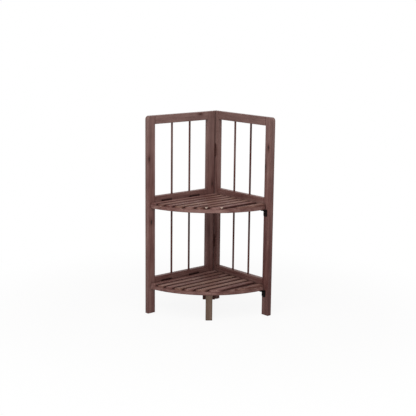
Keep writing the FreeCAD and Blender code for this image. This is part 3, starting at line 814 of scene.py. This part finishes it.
@dataclass(frozen=True)
class Finishes:
    """Every material of the rack, made once."""

    uprights: bpy.types.Material
    bars: bpy.types.Material
    left_rails: bpy.types.Material
    right_rails: bpy.types.Material
    leg: bpy.types.Material
    slats: tuple[bpy.types.Material, ...]
    back_battens: bpy.types.Material
    rims: bpy.types.Material
    brackets: bpy.types.Material
    shelf_hinges: bpy.types.Material
    other_hinges: bpy.types.Material
    brads: bpy.types.Material

    @classmethod
    def make(cls) -> "Finishes":
        """Writes the materials.

        Returns:
            The finishes.
        """
        slats = zip(SLAT_NUMBERS, SLAT_GREY_SHARES, SLAT_LEVEL_SHARES)
        return cls(
            uprights=UPRIGHT_WOOD.material(),
            bars=BAR_WOOD.material(),
            left_rails=LEFT_RAIL_WOOD.material(),
            right_rails=RIGHT_RAIL_WOOD.material(),
            leg=LEG_WOOD.material(),
            slats=tuple(cls.slat(number, grey, level) for number, grey, level in slats),
            back_battens=BACK_BATTEN_WOOD.material(),
            rims=RIM_WOOD.material(),
            brackets=BRACKET_STEEL.material(),
            shelf_hinges=SHELF_HINGE_STEEL.material(),
            other_hinges=OTHER_HINGE_STEEL.material(),
            brads=BRAD_STEEL.material(),
        )

    @staticmethod
    def slat(number: int, grey_share: float, level_share: float) -> bpy.types.Material:
        """Writes the stain of one slat, which both shelves have in the same place.

        Args:
            number: The slat's number from the left.
            grey_share: Share of the leg's greyer tones.
            level_share: How light the slat is.

        Returns:
            The finished material.
        """
        low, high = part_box(f"upper_slat_{number}")
        front_corner = (high.x, ShelfArc().front(high.x), high.z)
        # The listed slats get a painted glint at their front corner
        wood = replace(SLAT_WOOD, name=f"stained_wood_slat_{number}", sides=(low.x, high.x),
                       tones=SLAT_TONES.mixed(LEG_TONES, grey_share).scaled(level_share),
                       painted_glint_places=(front_corner,) if number in PAINTED_GLINT_SLATS else ())
        return wood.material()


@dataclass
class SideFrame:
    """One barred side frame."""

    side: Side
    bays: tuple[str, ...] = ("upper", "lower")
    bar_numbers: tuple[int, ...] = (1, 2)
    stile_places: tuple[str, ...] = ("front", "corner")
    rail_places: tuple[str, ...] = ("top", "middle", "lower")

    def dress(self, finishes: Finishes) -> None:
        """Stains the frame's boards and bars along their grain.

        Args:
            finishes: The rack's finishes.
        """
        bars = [f"{self.side}_{bay}_bar_{number}" for bay in self.bays for number in self.bar_numbers]
        dress(bars, finishes.bars)
        dress([f"{self.side}_{place}_stile" for place in self.stile_places], finishes.uprights)
        rails = finishes.left_rails if self.side is Side.LEFT else finishes.right_rails
        dress([f"{self.side}_{place}_rail" for place in self.rail_places], rails)


@dataclass
class BradTree:
    """Geometry nodes that set a domed brad head on every point."""

    radius_input: str = "Head Radius"
    dome_input: str = "Dome Height"
    seed_input: str = "Seed"
    finish_input: str = "Finish"
    segments: int = 12
    rings: int = 5
    smallest_share: float = 0.9
    largest_share: float = 1.1
    group: bpy.types.NodeTree = field(init=False)

    def __post_init__(self) -> None:
        """Writes the tree."""
        self.group = bpy.data.node_groups.new("brad_heads", "GeometryNodeTree")
        self.declare()
        nodes = NodeWriter(self.group)
        start = nodes.add("NodeGroupInput")
        # Inputs 2 and 3 and output 1 are the node's sockets for single numbers
        chance = nodes.add("FunctionNodeRandomValue")
        nodes.feed(chance, {2: self.smallest_share, 3: self.largest_share,
                            "Seed": start.outputs[self.seed_input]})
        spread = nodes.add("GeometryNodeInstanceOnPoints")
        nodes.feed(spread, {"Points": start.outputs["Geometry"], "Instance": self.head(nodes, start),
                            "Scale": chance.outputs[1]})
        real = nodes.add("GeometryNodeRealizeInstances")
        nodes.feed(real, {"Geometry": spread.outputs["Instances"]})
        smooth = nodes.add("GeometryNodeSetShadeSmooth")
        nodes.feed(smooth, {"Geometry": real.outputs["Geometry"]})
        finish = nodes.add("GeometryNodeSetMaterial")
        nodes.feed(finish, {"Geometry": smooth.outputs["Geometry"],
                            "Material": start.outputs[self.finish_input]})
        nodes.feed(nodes.add("NodeGroupOutput"), {"Geometry": finish.outputs["Geometry"]})

    def declare(self) -> None:
        kinds = {
            "Geometry": "NodeSocketGeometry",
            self.radius_input: "NodeSocketFloat",
            self.dome_input: "NodeSocketFloat",
            self.seed_input: "NodeSocketInt",
            self.finish_input: "NodeSocketMaterial",
        }
        for name, kind in kinds.items():
            self.group.interface.new_socket(name, in_out="INPUT", socket_type=kind)
        self.group.interface.new_socket("Geometry", in_out="OUTPUT", socket_type=kinds["Geometry"])

    def head(self, nodes: NodeWriter, start: bpy.types.Node) -> Socket:
        """One head: a ball, flattened to the dome's height.

        Args:
            nodes: The tree's nodes.
            start: The node with the tree's inputs.

        Returns:
            The head's geometry.
        """
        radius = start.outputs[self.radius_input]
        ball = nodes.add("GeometryNodeMeshUVSphere")
        nodes.feed(ball, {"Segments": self.segments, "Rings": self.rings, "Radius": radius})
        flatness = nodes.add("ShaderNodeMath", operation="DIVIDE")
        nodes.feed(flatness, {0: start.outputs[self.dome_input], 1: radius})
        scale = nodes.add("ShaderNodeCombineXYZ")
        nodes.feed(scale, {"X": 1.0, "Y": 1.0, "Z": flatness.outputs["Value"]})
        dome = nodes.add("GeometryNodeTransform")
        nodes.feed(dome, {"Geometry": ball.outputs["Mesh"], "Scale": scale.outputs["Vector"]})
        return dome.outputs["Geometry"]

    def grow(self, name: str, points: list[Vector], inputs: dict[str, Any]) -> bpy.types.Object:
        """Makes one plain mesh with a head on each point.

        Args:
            name: The piece's name.
            points: Places of the heads in the row frame.
            inputs: Values of the tree's named inputs.

        Returns:
            The finished piece.
        """
        seeds = bpy.data.meshes.new(f"{name}_places")
        seeds.from_pydata(points, [], [])
        piece = bpy.data.objects.new(name, seeds)
        bpy.context.scene.collection.objects.link(piece)
        modifier = piece.modifiers.new(name, "NODES")
        modifier.node_group = self.group
        sockets = self.group.interface.items_tree
        identifiers = {socket.name: socket.identifier for socket in sockets if socket.in_out == "INPUT"}
        for key, value in inputs.items():
            modifier[identifiers[key]] = value
        evaluated = piece.evaluated_get(bpy.context.evaluated_depsgraph_get())
        grown = bpy.data.meshes.new_from_object(evaluated)
        piece.modifiers.remove(modifier)
        piece.data = grown
        return piece


@dataclass
class Shelf:
    """One quarter-round shelf: slats on a curved rim and two battens, fixed by brads."""

    level: Level
    arc: ShelfArc
    brad_seed: int = 5
    head_radius: float = 1.1 * MILLIMETRE
    dome_height: float = 0.22 * MILLIMETRE
    sunk: float = 0.08 * MILLIMETRE
    front_inset: float = 15.0 * MILLIMETRE
    back_inset: float = 10.0 * MILLIMETRE
    row_shares: tuple[float, ...] = (0.27, 0.73)

    @property
    def slats(self) -> list[str]:
        """Names of the slat nodes."""
        return [f"{self.level}_slat_{number}" for number in SLAT_NUMBERS]

    def dress(self, finishes: Finishes) -> None:
        """Stains the shelf's boards along their grain.

        Args:
            finishes: The rack's finishes.
        """
        for slat, finish in zip(self.slats, finishes.slats):
            dress([slat], finish)
        dress([f"{self.level}_hinge_batten"], finishes.left_rails)
        dress([f"{self.level}_back_batten"], finishes.back_battens)
        dress([f"{self.level}_rim"], finishes.rims)

    def brad_places(self) -> list[Vector]:
        """Places of the brads: each slat over the rim and over the back batten.

        Returns:
            Points on the slats' tops.
        """
        places = []
        for slat in self.slats:
            low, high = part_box(slat)
            top = high.z - self.sunk
            for share in self.row_shares:
                across = low.x + share * (high.x - low.x)
                places.append(Vector((across, self.arc.front(across) + self.front_inset, top)))
                places.append(Vector((across, high.y - self.back_inset, top)))
        return places

    def build(self, tree: BradTree, finishes: Finishes) -> None:
        """Sets the brads that hold the slats.

        Args:
            tree: The brads' geometry nodes.
            finishes: The rack's finishes.
        """
        inputs = {tree.radius_input: self.head_radius, tree.dome_input: self.dome_height,
                  tree.seed_input: self.brad_seed, tree.finish_input: finishes.brads}
        brads = tree.grow(f"{self.level}_slat_brads", self.brad_places(), inputs)
        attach(brads, f"{self.level}_shelf")
        log.info("%s: %d brads", brads.name, len(self.brad_places()))


@dataclass
class FrontLeg:
    """The folding front leg."""

    node: str = "front_leg"

    def dress(self, finishes: Finishes) -> None:
        """Stains the leg along its length."""
        dress([self.node], finishes.leg)


@dataclass
class Hardware:
    """Hinges, brackets and screws."""

    hinge_words: tuple[str, ...] = ("leaves", "leaf", "pins", "pin", "screws")
    lighter_starts: tuple[str, ...] = ("corner_", "leg_")
    bracket_word: str = "bracket"

    def dress(self, finishes: Finishes) -> None:
        """Coats hinges and screws brown, lighter in the corner and on the leg, and brackets black.

        Args:
            finishes: The rack's finishes.
        """
        last_words = {name: name.rsplit("_", 1)[-1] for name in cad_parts}
        hinges = [name for name, word in last_words.items() if word in self.hinge_words]
        lighter = [name for name in hinges if name.startswith(self.lighter_starts)]
        dress(lighter, finishes.other_hinges)
        dress([name for name in hinges if name not in lighter], finishes.shelf_hinges)
        dress([name for name, word in last_words.items() if word == self.bracket_word], finishes.brackets)


@dataclass
class Lamp:
    """A soft square lamp that faces the rack, with its place and width in metres and its power in watts."""

    name: str
    place: Vector
    width: float
    power: float
    glossy: bool = True

    def build(self, target: Vector) -> None:
        """Hangs the lamp.

        Args:
            target: Point that it faces.
        """
        data = bpy.data.lights.new(self.name, "AREA")
        data.size = self.width
        data.energy = self.power
        lamp = bpy.data.objects.new(self.name, data)
        lamp.location = self.place
        lamp.visible_glossy = self.glossy
        lamp.rotation_euler = (target - self.place).to_track_quat("-Z", "Y").to_euler()
        bpy.context.scene.collection.objects.link(lamp)


LAMPS = (
    Lamp("front_left_lamp", place=Vector((0.30, -1.05, 1.70)), width=0.7, power=8.0),
    Lamp("front_lamp", place=Vector((1.12, -1.32, 1.50)), width=0.8, power=25.0, glossy=False),
    Lamp("right_lamp", place=Vector((1.00, -0.10, 1.70)), width=0.7, power=4.0),
    Lamp("low_lamp", place=Vector((1.50, -1.40, 0.30)), width=0.8, power=10.0),
    Lamp("top_lamp", place=Vector((0.20, -0.20, 1.90)), width=1.0, power=8.0),
    Lamp("back_lamp", place=Vector((-1.50, 1.50, 1.30)), width=1.0, power=14.0, glossy=False),
)


@dataclass
class Studio:
    """Pale floor, white surroundings, soft lamps and the camera."""

    camera_place: Vector = field(default_factory=lambda: Vector((2.208, -1.937, 0.912)))
    camera_turn: float = math.radians(228.81)
    camera_pitch: float = math.radians(-11.245)
    camera_roll: float = math.radians(-0.64)
    focal_pixels: float = 1006.7
    floor_half: float = 40.0
    floor_colour: Colour = (0.62, 0.61, 0.60)
    floor_roughness: float = 0.9
    shadow_share: float = 0.10
    shadow_reach: Limits = (0.35, 0.95)
    surroundings: float = 0.29
    target: Vector = field(default_factory=lambda: Vector((0.0, 0.0, 0.4)))
    lamps: tuple[Lamp, ...] = LAMPS

    def build(self) -> None:
        """Sets up the whole studio."""
        self.floor()
        self.world()
        for lamp in self.lamps:
            lamp.build(self.target)
        self.camera()
        bpy.context.scene.view_settings.view_transform = "Standard"

    @staticmethod
    def seen_directly(nodes: NodeWriter) -> Socket:
        """A value of 1 for what the camera, a reflection or a refraction sees.

        Args:
            nodes: The tree's nodes.

        Returns:
            The value socket.
        """
        path = nodes.add("ShaderNodeLightPath")
        total = path.outputs["Is Camera Ray"]
        for name in ("Is Glossy Ray", "Is Transmission Ray"):
            either = nodes.add("ShaderNodeMath", operation="MAXIMUM")
            nodes.feed(either, {0: total, 1: path.outputs[name]})
            total = either.outputs["Value"]
        return total

    def floor(self) -> None:
        """Lays a pale floor that shows white, with the rack's faint shadow."""
        half = self.floor_half
        corners = [(-half, -half, 0), (half, -half, 0), (half, half, 0), (-half, half, 0)]
        mesh = bpy.data.meshes.new("floor")
        mesh.from_pydata(corners, [], [tuple(range(len(corners)))])
        floor = bpy.data.objects.new("floor", mesh)
        bpy.context.scene.collection.objects.link(floor)
        graph = Graph("pale_floor")
        graph.feed(graph.shader, {"Base Color": (*self.floor_colour, 1.0), "Roughness": self.floor_roughness})
        distance = graph.length(graph.add("ShaderNodeTexCoord").outputs["Object"])
        white = graph.between(distance, self.shadow_reach, (1.0 - self.shadow_share, 1.0))
        glow = graph.add("ShaderNodeEmission")
        blend = graph.add("ShaderNodeMixShader")
        graph.feed(blend, {0: graph.math("MULTIPLY", self.seen_directly(graph), white),
                           1: graph.shader.outputs["BSDF"], 2: glow.outputs["Emission"]})
        graph.wire(blend.outputs["Shader"], graph.output.inputs["Surface"])
        mesh.materials.append(graph.material)

    def world(self) -> None:
        """Surrounds the rack with even light that shows white."""
        world = bpy.data.worlds.new("white_surroundings")
        world.use_nodes = True
        bpy.context.scene.world = world
        nodes = NodeWriter(world.node_tree)
        light = nodes.tree.nodes["Background"]
        nodes.feed(light, {"Strength": self.surroundings, "Color": WHITE})
        white = nodes.add("ShaderNodeBackground")
        nodes.feed(white, {"Color": WHITE})
        blend = nodes.add("ShaderNodeMixShader")
        nodes.feed(blend, {0: self.seen_directly(nodes), 1: light.outputs["Background"],
                           2: white.outputs["Background"]})
        nodes.feed(nodes.tree.nodes["World Output"], {"Surface": blend.outputs["Shader"]})

    def camera(self) -> None:
        """Stands the camera where the photograph was taken from."""
        level = math.cos(self.camera_pitch)
        look = Vector((math.sin(self.camera_turn) * level, -math.cos(self.camera_turn) * level,
                       math.sin(self.camera_pitch)))
        data = bpy.data.cameras.new("camera")
        data.sensor_width = SENSOR_WIDTH_MM
        data.lens = SENSOR_WIDTH_MM * self.focal_pixels / IMAGE_PIXELS
        camera = bpy.data.objects.new("camera", data)
        camera.location = self.camera_place
        roll = Quaternion(look, self.camera_roll)
        camera.rotation_euler = (roll @ look.to_track_quat("-Z", "Y")).to_euler()
        bpy.context.scene.collection.objects.link(camera)
        bpy.context.scene.camera = camera


def main() -> None:
    """Dresses the rack piece by piece and sets up the studio."""
    logging.basicConfig(level=logging.INFO, format="%(message)s")
    finishes = Finishes.make()
    for side in Side:
        SideFrame(side).dress(finishes)
    tree = BradTree()
    for level in Level:
        shelf = Shelf(level, ShelfArc())
        shelf.dress(finishes)
        shelf.build(tree, finishes)
    FrontLeg().dress(finishes)
    Hardware().dress(finishes)
    Studio().build()


if __name__ == "__main__":
    main()
